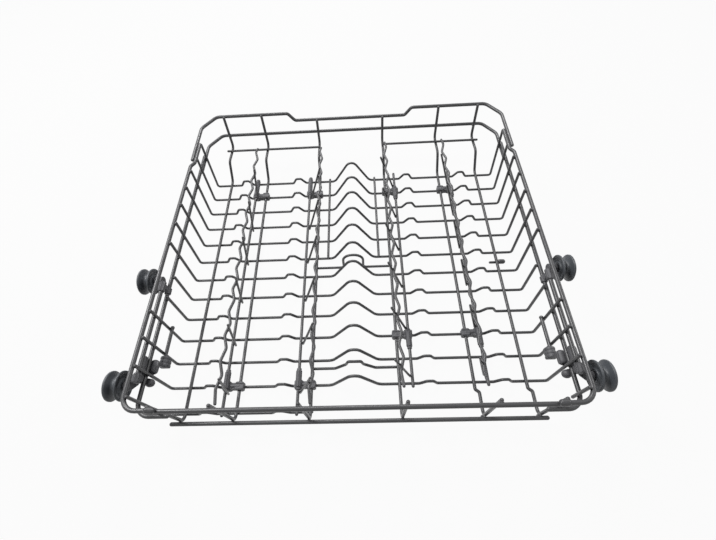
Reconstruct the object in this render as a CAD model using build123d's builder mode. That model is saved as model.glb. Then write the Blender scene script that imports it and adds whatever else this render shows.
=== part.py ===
from build123d import *

import os
from math import asin, cos, pi, radians, sin, tan

# Upper basket of a domestic dishwasher: welded wire basket, folding tine rows and spool rollers.
# Millimetres, +X to the right, +Y to the rear, +Z up. The origin is under the middle of the basket,
# on the plane that the cross wires rest on.

os.makedirs("parts", exist_ok=True)

# Overall sizes
rim_width = 478.0              # over the outside of the rim wires
basket_depth = 462.0           # over the outside of the front and rear rails
rim_height = 99.0              # centre of the rim wire
mid_height = 67.0              # centre of the rail halfway up the walls
notch_height = 85.5            # centre of the rear rim where it dips in the middle
notch_half = 90.0              # half length of the dip's flat bottom
notch_slope = 10.0             # run of the dip's slanting sides

# Wires
rail_d = 5.0                   # rim, rails and front bars
cross_d = 3.4                  # cross wires and small supports
long_d = 3.8                   # long wires from front to rear
rod_d = 4.0                    # hinge rods of the tine rows
tine_d = 3.0
wave_d = 3.6
carrier_d = 4.4
weld_gap = 0.05                # welded wires lie this close
wall_gap = 0.1                 # rails from the leaning wall wires
wire_sides = 8                 # flats round a bent wire
bend_chords = 2                # straight steps in each bend of the wires that repeat

# Layout of the floor
cross_count = 12
rear_to_first_cross = 62.0     # from the rear face of the basket
last_cross_to_front = 16.0     # from the half wire in front of the last full one
long_x = (55.5, 147.5, 211.5)  # long wires, each side of the middle
rod_offset = 16.0              # hinge rod, outside its long wire
wall_lean = 6.0                # the side walls are this much wider at the floor
floor_bend = 10.0              # bend between floor and side wall

# Bends in each cross wire
peak_rise = 49.5               # ridge in the middle, over the water pipe
peak_half = 30.0
bump_rise = 10.0               # low bumps outside each tine row
bump_offset = 9.5              # bump's inner foot, outside the hinge rod
bump_inner_slope = 8.0
bump_flat = 8.0
bump_outer_slope = 6.0
small_bend = 5.0
long_bend = 8.0                # bends of the long wires

# Ends and laps
end_over = 3.0                 # wire ends stand this far past a wire they cross
rim_over = 4.5                 # wall wires end this far above the centre of the rim
rim_lap_short = 2.5            # each side rim ends this far in front of the first cross wire
rear_leg_over = 2.45           # the rear rim ends this far behind the step in the side rims
mid_lap_over = 6.5             # lapped mid rails end this far behind their cross wire
bevel_x = 20.0                 # slanting rear corners
bevel_y = 26.0
corner_bend = 12.0
rear_bend = 18.0               # the bevelled rear corners
return_inset = 36.5            # inner ends of the rails that turn the front corners, from the rim
front_bar_inset = 20.5         # ends of the front bars, from the rim
low_bar_inset = 12.5
low_bar_height = 15.0

# Rear wall of the long wires
shelf_height = 40.0            # centre of the long wires on the rear shelf
shelf_depth = 42.0             # from the rear face of the basket
rear_rise_run = 14.0           # floor to shelf
rear_toe_in = 0.037            # the rear uprights close in by this share of their distance apart
joggle = 4.5                   # the two right-hand long wires step outwards near the front
joggle_from_front = 36.5

# Small wires on the floor and walls
guide_x = 38.5
pipe_holder_offset = 17.0      # in front of the sixth cross wire
pipe_arch_half = 14.5
pipe_arch_rise = 33.5
rest_holder_offset = 10.5      # in front of the eleventh
rest_top_half = 8.0
rest_rise = 27.5
short_wire_from_rear = 21.0
stub_pin_length = 20.5
carrier_height = 85.0
stay_height = 48.0

# Folding tine rows
rod_height = 11.0
tine_pitch_count = 2           # a tine at every second cross wire
tine_count = 6
tine_top = 69.0                # above the hinge rod
tine_stub = 5.0                # below the hinge rod
wave_level = 50.0              # wavy wire, above the hinge rod
wave_depth = 4.6
wave_rear_over = 24.0          # wavy wire, past the rear end of its rod
lean = {"a": 10.0, "b": 18.0, "c": 18.0, "d": 17.0}  # degrees towards the middle
wave_side = {"a": 1, "b": -1, "c": 1, "d": 1}  # 1 is outside the tines, -1 towards the middle
tine_shift_left = -9.5         # tines from their cross wire, towards the rear
tine_shift_right = 8.0
rod_rear_left = 34.0           # rod ends, behind the second cross wire
rod_rear_right = 37.0
rod_front_left = 38.0          # rod ends, in front of the last cross wire
rod_front_right = 7.5
wave_front_left = -4.0         # wavy wires, in front of their rods
wave_front_right = 11.0

# Hinge clips
clip_wall = 1.8
clip_width = 8.4
clips_left = [(2, 7.0, 33.0), (12, 7.0, 20.0)]  # cross wire, sleeve in front of it, sleeve behind it
clips_right = [(2, 22.0, 6.0), (10, 22.0, 6.0)]
clip_floor = 0.5
clip_end = 1.6                 # clip past the long wire's channel
clip_fit = 0.08                # hinge rod in its clip
snap_fit = 0.1                 # clips and brackets on the wires

# Rollers and their brackets
roller_middle_offset = 12.5    # in front of the eighth cross wire
roller_front_offset = 15.5     # in front of the last cross wire
roller_height = 80.5
flange_d = 33.0
roller_hub_d = 19.0
flange_rim = 2.4
groove_width = 10.0
roller_dome = 3.6
axle_d = 8.0
axle_bead = 0.5
bore_fit = 0.08
roller_gap = 0.3
cheek_thick = 8.0
cheek_gap = 0.4                # posts from the mid rail
web_behind = 18.5              # web under the mid rail, behind the last cross wire
wire_room = 1.2                # web from the last cross wire
post_behind = 1.5              # posts past the web
post_before = 12.0             # posts in front of the last cross wire
post_drop = 5.5                # posts below and above the mid rail
post_rise = 4.0
block_setback = 1.4            # stay block from the eleventh cross wire
block_depth = 15.0
block_half = 6.0
block_wall = 3.0
block_shift = 3.5              # middle of the stay block, inside its wire
bar_wall = 2.4                 # middle bracket outside the mid rail
bar_before = 7.0               # middle bracket in front of the ninth cross wire
carrier_behind = 8.0           # carrier wire behind the ninth cross wire
hook_behind = 5.5              # hook behind its roller's axle
post_chamfer = 1.5
boss_length = 1.4
boss_d = 15.0
bead_setback = 5.0             # snap bead from the end of the axle
axle_setback = 0.6             # end of the axle inside the roller's outer face
socket_wall = 1.5              # round the carrier wire
bar_end_r = 6.2                # front end of the middle bracket
hook_length = 12.0
rib_gap = 1.6                  # grooves between the ribs of the stay block
rib_depth = 1.4

# Derived places
rail_r = rail_d / 2
cross_r = cross_d / 2
long_r = long_d / 2
rod_r = rod_d / 2
tine_r = tine_d / 2
wave_r = wave_d / 2
carrier_r = carrier_d / 2
x_rim = rim_width / 2 - rail_r
y_rail = basket_depth / 2 - rail_r
lap = rail_d + weld_gap
z_cross = cross_r
z_long = cross_d + long_r + weld_gap
x_wall_top = x_rim - rail_r - cross_r - wall_gap
y_upright = y_rail - rail_r - long_r - weld_gap
first_cross_y = basket_depth / 2 - rear_to_first_cross
cross_pitch = (basket_depth - rear_to_first_cross - last_cross_to_front) / cross_count
rod_x = (long_x[0] + rod_offset, long_x[1] + rod_offset)
wall_slope = wall_lean / (rim_height - z_cross)


def cross_y(number):
    """Place of a cross wire, counted from the rear; 2.5 is halfway between two."""
    return first_cross_y - (number - 1) * cross_pitch


def wall_x(height):
    """Centre of the cross wires in the side wall at a height."""
    return x_wall_top + wall_slope * (rim_height - height)


def rail_x(height, radius=rail_r):
    """Centre of a wire that lies against the outside of the wall wires."""
    return wall_x(height) + cross_r + radius + wall_gap


# Places that follow the cross wires and the faces of the basket
rim_jog = cross_y(2.5)
rim_lap_end = cross_y(1) - rim_lap_short
rear_leg_end = rim_jog + lap + rear_leg_over
mid_lap_end = cross_y(1) + mid_lap_over
mid_leg_end = cross_y(2) + mid_lap_over
return_end = x_rim - return_inset
front_bar_half = x_rim - front_bar_inset
low_bar_half = x_rim - low_bar_inset
shelf_start = basket_depth / 2 - shelf_depth
rear_rise_start = shelf_start - rear_rise_run
joggle_y = joggle_from_front - basket_depth / 2
pipe_holder_y = cross_y(6) - pipe_holder_offset
rest_holder_y = cross_y(11) - rest_holder_offset
short_wire_y = basket_depth / 2 - short_wire_from_rear
roller_middle_y = cross_y(8) - roller_middle_offset
roller_front_y = cross_y(cross_count) - roller_front_offset


def write(piece, name):
    piece.part.label = name
    export_step(piece.part, f"parts/{name}.step")


def stepped(points, bends):
    """The points of a wire with each bend replaced by straight steps between points of its arc."""
    corners = [Vector(point) for point in points]
    route = corners[:1]
    for before, corner, after, radius in zip(corners, corners[1:], corners[2:], bends):
        ahead = (corner - before).normalized()
        onward = (after - corner).normalized()
        turn = radians(ahead.get_angle(onward))
        entry = corner - ahead * (radius * tan(turn / 2))
        centre = corner + (onward - ahead).normalized() * (radius / cos(turn / 2))
        if radius == 0:
            route.append(corner)
            continue
        for count in range(bend_chords + 1):
            angle = turn * count / bend_chords
            route.append(centre + (entry - centre) * cos(angle) + ahead * (radius * sin(angle)))
    return route + corners[-1:]


def bent_wire(name, points, diameter, bends=(), flat=(0, 0, 1), repeats=False):
    """One wire through the points, with a bend radius for each corner; 0 is a tight corner.

    One of its flats faces the given direction, square to the first run.
    """
    if repeats:
        points = stepped(points, bends)
        bends = [0] * (len(points) - 2)
    with BuildPart() as wire:
        with BuildLine():
            start = 0
            for end in range(1, len(points)):
                if end < len(points) - 1 and bends[end - 1] > 0:
                    continue
                run = points[start:end + 1]
                if len(run) > 2:
                    FilletPolyline(*run, radius=bends[start:end - 1])
                else:
                    Line(*run)
                start = end
        with BuildSketch(Plane(points[0], flat, Vector(points[1]) - Vector(points[0]))):
            RegularPolygon(diameter / 2, wire_sides, major_radius=False, rotation=180 / wire_sides)
        sweep(transition=Transition.RIGHT)
    write(wire, name)


# Rim and rails
x_inner_lap = x_rim - lap
rear_half = [
    (x_rim, rear_leg_end, rim_height),
    (x_rim, y_rail - bevel_y, rim_height),
    (x_rim - bevel_x, y_rail, rim_height),
    (notch_half + notch_slope, y_rail, rim_height),
    (notch_half, y_rail, notch_height),
]
bent_wire(
    "rear_rim",
    rear_half + [(-x, y, z) for x, y, z in reversed(rear_half)],
    rail_d,
    [corner_bend, rear_bend, small_bend, small_bend, small_bend, small_bend, rear_bend, corner_bend],
)

x_mid = rail_x(mid_height)
z_rear_mid = mid_height - lap
x_rear_mid = rail_x(z_rear_mid) + 2 * weld_gap
rear_mid_half = [
    (x_rear_mid, mid_leg_end, z_rear_mid),
    (x_rear_mid, y_rail - bevel_y, z_rear_mid),
    (x_rear_mid - bevel_x, y_rail, z_rear_mid),
]
bent_wire(
    "rear_mid_rail",
    rear_mid_half + [(-x, y, z) for x, y, z in reversed(rear_mid_half)],
    rail_d,
    [corner_bend, rear_bend, rear_bend, corner_bend],
)

for side, hand in ((-1, "left"), (1, "right")):
    bent_wire(
        f"side_rim_{hand}",
        [
            (side * x_inner_lap, rim_lap_end, rim_height),
            (side * x_inner_lap, rim_jog + lap, rim_height),
            (side * x_rim, rim_jog - lap, rim_height),
            (side * x_rim, -y_rail, rim_height),
            (side * return_end, -y_rail, rim_height),
        ],
        rail_d,
        [2 * small_bend, 2 * small_bend, corner_bend],
    )
    bent_wire(
        f"side_mid_rail_{hand}",
        [
            (side * x_mid, mid_lap_end, mid_height),
            (side * x_mid, -y_rail, mid_height),
            (side * return_end, -y_rail, mid_height),
        ],
        rail_d,
        [corner_bend],
    )

z_front_bar = rim_height - lap
bent_wire(
    "front_top_bar",
    [(-front_bar_half, -y_rail, z_front_bar), (front_bar_half, -y_rail, z_front_bar)],
    rail_d,
)
bent_wire(
    "front_low_bar",
    [(-low_bar_half, -y_rail, low_bar_height), (low_bar_half, -y_rail, low_bar_height)],
    rail_d,
)


# Cross wires
def bump(foot):
    """Corners of one low bump, from the middle of the basket outwards."""
    crest = foot + bump_inner_slope
    edge = crest + bump_flat
    return [(foot, 0), (crest, bump_rise), (edge, bump_rise), (edge + bump_outer_slope, 0)]


bump_feet = [x + bump_offset for x in rod_x]
floor_corners = [(peak_half, 0)] + bump(bump_feet[0]) + bump(bump_feet[1])
floor_bends = [2 * small_bend] + [0] * 8


def wall_corners(number):
    """Corners of one wall of a cross wire, from the floor upwards."""
    lapped = cross_y(number) > rim_jog
    foot = (wall_x(z_cross), z_cross)
    if number == 8:
        return [foot, (wall_x(mid_height + end_over), mid_height + end_over)]
    if number == 9:
        top = carrier_height - carrier_r - cross_d - end_over
        return [foot, (wall_x(top), top)]
    top = rim_height - rail_r - 2 * weld_gap if lapped else rim_height + rim_over
    return [foot, (wall_x(top), top)]


for number in range(1, cross_count + 1):
    y = cross_y(number)
    wall = wall_corners(number)
    half = [(x, z_cross + rise) for x, rise in floor_corners] + wall
    bends = floor_bends + [floor_bend]
    crown = [(0, z_cross + peak_rise)]
    corners = [(-x, z) for x, z in reversed(half)] + crown + half
    bent_wire(
        f"cross_wire_{number:02d}",
        [(x, y, z) for x, z in corners],
        cross_d,
        list(reversed(bends)) + [2 * small_bend] + bends,
        flat=(0, 1, 0),
        repeats=True,
    )

# The front cross wire has a left half that ends at a long wire, and a short piece on the right wall
y_front_cross = cross_y(cross_count + 1)
front_wall = wall_corners(cross_count + 1)
left_floor = [(x, z_cross + rise) for x, rise in floor_corners[1:]]
left_half = [(long_x[0] - end_over, z_cross)] + left_floor + front_wall
bent_wire(
    "front_cross_wire_left",
    [(-x, y_front_cross, z) for x, z in left_half],
    cross_d,
    floor_bends[1:] + [floor_bend],
    flat=(0, 1, 0),
    repeats=True,
)
z_piece = mid_height - 2 * end_over - cross_d
bent_wire(
    "front_wall_piece_right",
    [(x, y_front_cross, z) for x, z in ((wall_x(z_piece), z_piece), front_wall[-1])],
    cross_d,
    flat=(0, 1, 0),
)

# Long wires, from the front rail along the floor and up the stepped rear wall
for place, x in enumerate([-x for x in reversed(long_x)] + list(long_x), start=1):
    rear_top = rim_height if abs(x) > notch_half else notch_height
    step = joggle if place > 4 else 0.0
    toe_in = rear_toe_in * x
    front = [(x, -y_upright, z_front_bar + rail_r), (x + step, -y_upright, z_long)]
    front_bends = [long_bend]
    if step:
        front += [(x + step, joggle_y - joggle, z_long), (x, joggle_y + joggle, z_long)]
        front_bends += [small_bend, small_bend]
    rear = [
        (x, rear_rise_start, z_long),
        (x - 0.4 * toe_in, shelf_start, shelf_height),
        (x - 0.6 * toe_in, y_upright, shelf_height),
        (x - toe_in, y_upright, rear_top + end_over),
    ]
    bent_wire(
        f"long_wire_{place}",
        front + rear,
        long_d,
        front_bends + [long_bend] * 3,
        flat=(1, 0, 0),
        repeats=True,
    )

# Small wires that share a name are pairs
z_on_shelf = shelf_height + long_r + cross_r + weld_gap
with BuildPart() as rear_short_wires:
    for side in (-1, 1):
        start = (side * (long_x[0] - end_over), short_wire_y, z_on_shelf)
        with BuildSketch(Plane(origin=start, z_dir=(side, 0, 0))):
            Circle(cross_r)
        extrude(amount=long_x[2] - long_x[0] + 2 * end_over)
write(rear_short_wires, "rear_short_wires")

z_guide = cross_d + cross_r + weld_gap
with BuildPart() as pipe_guides:
    for side in (-1, 1):
        start = (side * guide_x, cross_y(1) + end_over, z_guide)
        with BuildSketch(Plane(origin=start, z_dir=(0, -1, 0))):
            Circle(cross_r)
        extrude(amount=5 * cross_pitch + 2 * end_over)
write(pipe_guides, "pipe_guides")

holder_end = long_x[0] + end_over
arch_half = [
    (holder_end, z_cross),
    (pipe_arch_half, z_cross),
    (pipe_arch_half, z_cross + pipe_arch_rise),
]
bent_wire(
    "pipe_holder_rear",
    [(x, pipe_holder_y, z) for x, z in arch_half]
    + [(-x, pipe_holder_y, z) for x, z in reversed(arch_half)],
    cross_d,
    [small_bend, pipe_arch_half - 1, pipe_arch_half - 1, small_bend],
    flat=(0, 1, 0),
)
rest_half = [
    (holder_end, z_cross),
    (peak_half - 4, z_cross),
    (rest_top_half + 3, z_cross + 0.6 * rest_rise),
    (rest_top_half, z_cross + rest_rise),
]
bent_wire(
    "pipe_holder_front",
    [(x, rest_holder_y, z) for x, z in rest_half]
    + [(-x, rest_holder_y, z) for x, z in reversed(rest_half)],
    cross_d,
    [small_bend, small_bend, 3, 3, small_bend, small_bend],
    flat=(0, 1, 0),
)

with BuildPart() as stub_pin:
    with BuildSketch(Plane.YZ.offset(long_x[2] - stub_pin_length / 2)):
        with Locations((pipe_holder_y, z_cross)):
            Circle(cross_r)
    extrude(amount=stub_pin_length)
write(stub_pin, "stub_pin")

# Roller brackets and the wires that carry them
x_carrier = rail_x(carrier_height, carrier_r)
x_stay = wall_x(stay_height) - cross_d - weld_gap
x_cheek = x_mid + rail_r + cheek_gap
x_boss = x_cheek + cheek_thick + boss_length
x_flange = x_boss + roller_gap
x_inner_cheek = x_mid - rail_r - cheek_gap - cheek_thick
y_last_cross = cross_y(cross_count)
web_rear = y_last_cross + web_behind
web_front = y_last_cross + cross_r + wire_room
web_top = mid_height - rail_r - snap_fit
post_rear = web_rear + post_behind
post_front = y_last_cross - post_before
post_middle = (post_rear + post_front) / 2
post_bottom = mid_height - rail_r - post_drop
post_top = mid_height + rail_r + post_rise
socket_top = carrier_height + carrier_r + snap_fit + socket_wall + 0.6
socket_in = x_carrier - carrier_r - snap_fit - socket_wall
block_rear = cross_y(11) - cross_r - block_setback
x_block = x_stay - block_shift
carrier_front = web_front + socket_wall
bar_out = x_mid + rail_r + bar_wall
bar_front = cross_y(9) - bar_before
carrier_rear = cross_y(9) + carrier_behind
hook_rear = roller_middle_y + hook_behind

with BuildPart() as carrier_wires:
    for side in (-1, 1):
        with BuildSketch(Plane((side * x_carrier, carrier_rear, carrier_height), (0, 0, 1), (0, -1, 0))):
            RegularPolygon(carrier_r, wire_sides, major_radius=False, rotation=180 / wire_sides)
        extrude(amount=carrier_rear - carrier_front)
write(carrier_wires, "carrier_wires")

stay_rear = cross_y(10) + end_over
stay_front = block_rear - block_depth + block_wall
with BuildPart() as stay_wires:
    for side in (-1, 1):
        with BuildSketch(Plane((side * x_stay, stay_rear, stay_height), (0, 0, 1), (0, -1, 0))):
            RegularPolygon(cross_r, wire_sides, major_radius=False, rotation=180 / wire_sides)
        extrude(amount=stay_rear - stay_front)
write(stay_wires, "stay_wires")


def axle_corners(side, base):
    """Profile of a boss and its snap axle, from inside the bracket outwards."""
    end = x_flange + 2 * flange_rim + groove_width - axle_setback
    bead = end - bead_setback
    profile = [
        (base, 0),
        (base, boss_d / 2),
        (x_boss, boss_d / 2 - 0.6),
        (x_boss, axle_d / 2),
        (bead - 1.2, axle_d / 2),
        (bead - 0.4, axle_d / 2 + axle_bead),
        (bead + 0.8, axle_d / 2 + axle_bead),
        (bead + 2.2, axle_d / 2),
        (end - 1, axle_d / 2),
        (end, axle_d / 2 - 1),
        (end, 0),
    ]
    return [(side * x, radius) for x, radius in profile]


for side, hand in ((-1, "left"), (1, "right")):
    with BuildPart() as front_bracket:
        # A rounded post on each side of the mid rail, joined by a web under the rail
        for x_post in (x_cheek + cheek_thick / 2, x_inner_cheek + cheek_thick / 2):
            with BuildSketch(Plane.XY.offset(post_bottom)):
                with Locations((side * x_post, post_middle)):
                    SlotOverall(post_rear - post_front, cheek_thick, rotation=90)
            extrude(amount=post_top - post_bottom)
            chamfer(edges(Select.LAST).group_by(Axis.Z)[-1], post_chamfer)
        with BuildSketch(Plane.XY.offset(post_bottom)):
            with Locations((side * (x_inner_cheek + x_cheek + cheek_thick) / 2, (web_rear + web_front) / 2)):
                Rectangle(x_cheek - x_inner_cheek, web_rear - web_front)
        extrude(amount=web_top - post_bottom)
        # Arm from the outer post up to the axle
        with BuildSketch(Plane.YZ.offset(side * x_cheek)):
            with Locations((roller_front_y, roller_height)):
                Circle(boss_d / 2)
            with Locations((post_middle, (post_bottom + post_top) / 2)):
                Rectangle((post_rear - post_front) / 2, post_top - post_bottom - 2 * post_chamfer)
            make_hull()
        extrude(amount=side * cheek_thick)
        # Socket tower for the front end of the carrier wire
        with BuildSketch(Plane.XY.offset(post_top - 3)):
            with Locations((side * (socket_in + x_cheek + 2) / 2, (web_rear + web_front) / 2)):
                RectangleRounded(x_cheek + 2 - socket_in, web_rear - web_front, 3.0)
        extrude(amount=socket_top - post_top + 3)
        chamfer(edges(Select.LAST).group_by(Axis.Z)[-1], 0.8)
        # Groove that lets the wall wire pass
        with BuildSketch(Plane.XY.offset(post_bottom - 1)):
            with Locations((side * (x_inner_cheek + cheek_thick), y_last_cross)):
                Rectangle(2 * (x_inner_cheek + cheek_thick - wall_x(post_top) + cross_r + 0.8), cross_d + 1)
        extrude(amount=post_top - post_bottom + 2, mode=Mode.SUBTRACT)
        # Ribbed block on the stay wire, on a foot from the inner post
        with BuildSketch(Plane.XZ.offset(-block_rear)):
            with Locations((side * x_block, stay_height)):
                RectangleRounded(2 * block_half + 2, 2 * block_half, 1.5)
        extrude(amount=block_depth)
        with BuildSketch(Plane.XY.offset(stay_height + block_half)):
            with Locations((side * x_block, block_rear - block_depth / 2)):
                with GridLocations(0, block_depth / 3, 1, 2):
                    Rectangle(2 * block_half + 4, rib_gap)
        extrude(amount=-rib_depth, mode=Mode.SUBTRACT)
        with BuildSketch(Plane.XY.offset(stay_height + block_half - rib_depth - 1)):
            with Locations((side * (x_inner_cheek + cheek_thick / 2), block_rear - block_depth + 3.5)):
                Rectangle(cheek_thick - 1, 7)
        extrude(amount=post_bottom - stay_height - block_half + rib_depth + 4)
        # Sockets for both wires
        with BuildSketch(Plane((side * x_carrier, web_rear, carrier_height), (0, 0, 1), (0, -1, 0))):
            Rectangle(carrier_d + 2 * snap_fit, carrier_d + 2 * snap_fit)
        extrude(amount=web_rear - carrier_front + snap_fit, mode=Mode.SUBTRACT)
        with BuildSketch(Plane((side * x_stay, block_rear, stay_height), (0, 0, 1), (0, -1, 0))):
            Rectangle(cross_d + 2 * snap_fit, cross_d + 2 * snap_fit)
        extrude(amount=block_rear - stay_front + snap_fit, mode=Mode.SUBTRACT)
        with BuildSketch(Plane((0, roller_front_y, roller_height), (1, 0, 0), (0, -1, 0))):
            with BuildLine():
                Polyline(*axle_corners(side, x_cheek + 1), close=True)
            make_face()
        revolve(axis=Axis((0, roller_front_y, roller_height), (1, 0, 0)))
    write(front_bracket, f"roller_bracket_front_{hand}")

    with BuildPart() as middle_bracket:
        # Tapered bar in the gap of the wall, from the axle to the carrier wire
        with BuildSketch(Plane.YZ.offset(side * socket_in)):
            with Locations((roller_middle_y, roller_height)):
                Circle(boss_d / 2)
            with Locations((bar_front + bar_end_r, carrier_height)):
                Circle(bar_end_r)
            make_hull()
        extrude(amount=side * (bar_out - socket_in))
        # Hook over the mid rail, open below
        hook_top = roller_height - 3
        hook_bottom = mid_height - rail_r - snap_fit - 1.6
        with BuildSketch(Plane.XZ.offset(-hook_rear)):
            with Locations((side * x_mid, (hook_top + hook_bottom) / 2)):
                Rectangle(2 * (bar_out - x_mid), hook_top - hook_bottom)
        extrude(amount=hook_length)
        chamfer(edges(Select.LAST).group_by(Axis.Z)[0].filter_by(Axis.Y), 1.0)
        with BuildSketch(Plane.XZ.offset(-hook_rear)):
            with Locations((side * x_mid, mid_height)):
                Rectangle(rail_d + 2 * snap_fit, rail_d + 2 * snap_fit)
            with Locations((side * x_mid, hook_bottom)):
                Rectangle(rail_d - 0.6, rail_d)
        extrude(amount=hook_length, mode=Mode.SUBTRACT)
        with BuildSketch(Plane((side * x_carrier, carrier_rear, carrier_height), (0, 0, 1), (0, -1, 0))):
            Rectangle(carrier_d + 2 * snap_fit, carrier_d + 2 * snap_fit)
        extrude(amount=carrier_rear - bar_front + 1, mode=Mode.SUBTRACT)
        with BuildSketch(Plane((0, roller_middle_y, roller_height), (1, 0, 0), (0, -1, 0))):
            with BuildLine():
                Polyline(*axle_corners(side, bar_out - 1), close=True)
            make_face()
        revolve(axis=Axis((0, roller_middle_y, roller_height), (1, 0, 0)))
    write(middle_bracket, f"roller_bracket_middle_{hand}")

    # Spool rollers with a domed outer face and a blind bore
    for y, name in ((roller_front_y, "front"), (roller_middle_y, "middle")):
        inner = x_flange
        groove_in = inner + flange_rim
        groove_out = groove_in + groove_width
        face = groove_out + flange_rim
        flange_r = flange_d / 2
        hub_r = roller_hub_d / 2
        bore_r = axle_d / 2 + bore_fit
        bore_end = face - axle_setback + roller_gap
        bead = face - axle_setback - bead_setback
        dome_r = (flange_r**2 + roller_dome**2) / (2 * roller_dome)
        dome_turn = asin(flange_r / dome_r) / 2
        dome_centre = face + roller_dome - dome_r
        with BuildPart() as roller:
            with BuildSketch(Plane((0, y, roller_height), (1, 0, 0), (0, -1, 0))):
                with BuildLine():
                    Polyline(
                        (side * bore_end, 0),
                        (side * bore_end, bore_r),
                        (side * (bead + 2.6), bore_r),
                        (side * (bead + 1.0), bore_r + axle_bead),
                        (side * (bead - 0.6), bore_r + axle_bead),
                        (side * (bead - 1.6), bore_r),
                        (side * inner, bore_r),
                        (side * inner, flange_r - 1),
                        (side * (inner + 1), flange_r),
                        (side * (groove_in - 0.4), flange_r),
                        (side * (groove_in + 1.6), hub_r + 1.6),
                        (side * (groove_in + 3.2), hub_r),
                        (side * (groove_out - 3.2), hub_r),
                        (side * (groove_out - 1.6), hub_r + 1.6),
                        (side * (groove_out + 0.4), flange_r),
                        (side * face, flange_r),
                    )
                    ThreePointArc(
                        (side * face, flange_r),
                        (side * (dome_centre + dome_r * cos(dome_turn)), dome_r * sin(dome_turn)),
                        (side * (face + roller_dome), 0),
                    )
                    Line((side * (face + roller_dome), 0), (side * bore_end, 0))
                make_face()
            revolve(axis=Axis((0, y, roller_height), (1, 0, 0)))
        write(roller, f"roller_{name}_{hand}")

# Folding tine rows: the lean is about the hinge rod, towards the middle of the basket
rows = {
    "a": (-1, 1, tine_shift_left),
    "b": (-1, 0, tine_shift_left),
    "c": (1, 0, tine_shift_right),
    "d": (1, 1, tine_shift_right),
}
for row, (side, place, shift) in rows.items():
    x_rod = side * rod_x[place]
    x_long = side * long_x[place]
    long_row = shift < 0
    rod_rear = cross_y(2) + (rod_rear_left if long_row else rod_rear_right)
    rod_front = cross_y(cross_count) - (rod_front_left if long_row else rod_front_right)
    turn = radians(lean[row])
    outward = Vector(side * cos(turn), 0, sin(turn))
    along = Vector(-side * sin(turn), 0, cos(turn))
    base = Vector(x_rod, 0, rod_height)
    tine_centre = base - outward * (rod_r + tine_r + weld_gap)
    first_tine = cross_y(2) + shift

    with BuildPart() as hinge_rod:
        with BuildSketch(Plane(origin=(x_rod, rod_rear, rod_height), z_dir=(0, -1, 0))):
            Circle(rod_r)
        extrude(amount=rod_rear - rod_front)
        chamfer(edges(), 0.5)
    write(hinge_rod, f"fold_row_{row}_rod")

    with BuildPart() as tines:
        for count in range(tine_count):
            tine_y = first_tine - count * tine_pitch_count * cross_pitch
            foot = tine_centre - along * tine_stub + Vector(0, tine_y, 0)
            with BuildSketch(Plane(foot, (0, 1, 0), along)):
                RegularPolygon(tine_r, wire_sides, major_radius=False, rotation=180 / wire_sides)
            extrude(amount=tine_top + tine_stub)
    write(tines, f"fold_row_{row}_tines")

    # The wave swings in at each cross wire and out between them, and touches the tines on the way
    half_pitch = cross_pitch / 2
    slope = wave_depth / half_pitch
    touch = tine_r * (1 + slope * tan(pi / wire_sides)) + wave_r * (1 + slope**2) ** 0.5 + weld_gap
    at_tine = wave_depth * abs(shift) / half_pitch
    wave_in = tine_centre + outward * (wave_side[row] * touch - at_tine) + along * wave_level
    wave_rear = rod_rear + wave_rear_over
    wave_front = rod_front - (wave_front_left if long_row else wave_front_right)
    swing_y = [first_cross_y + half_pitch * (1 - step) for step in range(2 * cross_count + 4)]
    swings = [(y, wave_depth * ((count + 1) % 2)) for count, y in enumerate(swing_y)]
    swings = [(y, swing) for y, swing in swings if wave_front + 4 < y < wave_rear - 4]
    swings = [(wave_rear, wave_depth / 2)] + swings + [(wave_front, wave_depth / 2)]
    corners = [wave_in + outward * swing + Vector(0, y, 0) for y, swing in swings]
    bent_wire(f"fold_row_{row}_wave", corners, wave_d, [0] * (len(corners) - 2), flat=along)

    # Clips that hold the rod where a cross wire meets the long wire
    with BuildPart() as clips:
        for number, reach_front, reach_rear in clips_left if long_row else clips_right:
            y = cross_y(number)
            clip_rear = y + clip_width / 2
            sleeve_r = rod_r + clip_fit + clip_wall
            arm_top = z_long + long_r + snap_fit + clip_wall
            x_near = abs(x_long) - long_r - snap_fit - clip_end - clip_wall
            x_far = abs(x_rod) + clip_width / 2
            # Arm along the cross wire, from the long wire to the sleeve round the rod
            with BuildSketch(Plane.XY.offset(clip_floor)):
                with Locations((side * (x_near + x_far) / 2, y)):
                    SlotOverall(x_far - x_near, clip_width)
            extrude(amount=arm_top - clip_floor)
            with BuildSketch(Plane(origin=(x_rod, y + reach_rear, rod_height), z_dir=(0, -1, 0))):
                Circle(sleeve_r)
            extrude(amount=reach_rear + reach_front)
            # Bore for the rod, channels for both wires
            with BuildSketch(Plane(origin=(x_rod, y + reach_rear + 1, rod_height), z_dir=(0, -1, 0))):
                Circle(rod_r + clip_fit)
            extrude(amount=reach_rear + reach_front + 2, mode=Mode.SUBTRACT)
            channel_top = z_long + long_r + snap_fit
            with BuildSketch(Plane.XZ.offset(-clip_rear - 1)):
                with Locations((x_long, channel_top / 2)):
                    Rectangle(long_d + 2 * snap_fit, channel_top)
            extrude(amount=clip_width + 2, mode=Mode.SUBTRACT)
            with BuildSketch(Plane.YZ.offset(side * (x_near - 1))):
                with Locations((y, (cross_d + snap_fit) / 2)):
                    Rectangle(cross_d + 2 * snap_fit, cross_d + snap_fit)
            extrude(amount=side * (x_far - x_near + 2), mode=Mode.SUBTRACT)
    write(clips, f"fold_row_{row}_clips")
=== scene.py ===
import math
import bmesh
import bpy
from mathutils import Matrix, Vector


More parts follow.
